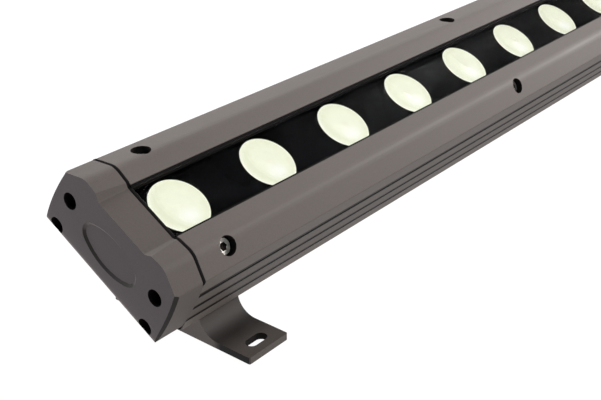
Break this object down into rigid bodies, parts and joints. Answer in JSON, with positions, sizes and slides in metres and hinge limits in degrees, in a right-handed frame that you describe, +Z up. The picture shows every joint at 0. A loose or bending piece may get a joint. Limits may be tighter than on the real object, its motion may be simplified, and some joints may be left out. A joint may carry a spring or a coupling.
{
  "type": "outdoor wall washer light",
  "caption": "Linear outdoor wall washer light: an extruded bronze bar with a glazed row of round lenses, cast end caps and a tilting bracket near each end.",
  "frame": {"origin": "middle of the four mounting slots on the underside of the bracket feet", "axes": "+X along the light bar, +Y to the rear, away from the low long side that the light leans towards, +Z up from the mounting surface"},
  "size_m": [1.0162, 0.0869, 0.077],
  "materials": {
    "bronze_paint": "satin warm bronze grey powder coat on aluminium",
    "clear_glass": "clear tempered glass",
    "black_rubber": "matt black silicone",
    "black_gloss": "glossy black",
    "lens": "clear moulded lens, lit",
    "white_board": "white solder mask",
    "led": "yellow phosphor",
    "green_board": "green circuit board",
    "dark_parts": "matt black moulded cases",
    "steel": "bright stainless steel",
    "dark_steel": "blackened stainless steel",
    "black_nylon": "matt black nylon"
  },
  "bodies": {
    "light_bar": {"housing": "bronze_paint", "front_rail_near": "bronze_paint", "front_rail_far": "bronze_paint", "glass_cover": "clear_glass", "glass_gaskets": "black_rubber", "lens_plate": "black_gloss", "lenses": "lens", "led_board": "white_board", "leds": "led", "driver_board": "green_board", "driver_standoffs": "steel", "driver_parts": "dark_parts", "end_cap_left": "bronze_paint", "end_cap_right": "bronze_paint", "end_gasket_left": "black_rubber", "end_gasket_right": "black_rubber", "cap_screws_left": "dark_steel", "cap_screws_right": "dark_steel", "rail_screws_near": "steel", "rail_screws_far": "steel", "gland_body": "black_nylon", "gland_nut": "black_nylon", "gland_seal": "black_rubber", "gland_lock_nut": "steel", "hinge_block_left": "bronze_paint", "hinge_block_right": "bronze_paint", "hinge_bolts": "steel", "hinge_washers": "steel", "hinge_nuts": "steel", "block_screws": "steel", "slot_nuts": "steel"},
    "base_left": {"bracket_left": "bronze_paint"},
    "base_right": {"bracket_right": "bronze_paint"}
  },
  "joints": [
    {"name": "left_swivel", "type": "hinge", "parent": "light_bar", "child": "base_left", "pos_m": [-0.4595, 0.0195, 0.0237], "axis": [1, 0, 0], "range_deg": [0, 75]},
    {"name": "right_swivel", "type": "hinge", "parent": "light_bar", "child": "base_right", "pos_m": [0.4595, 0.0195, 0.0237], "axis": [1, 0, 0], "range_deg": [0, 75]}
  ]
}
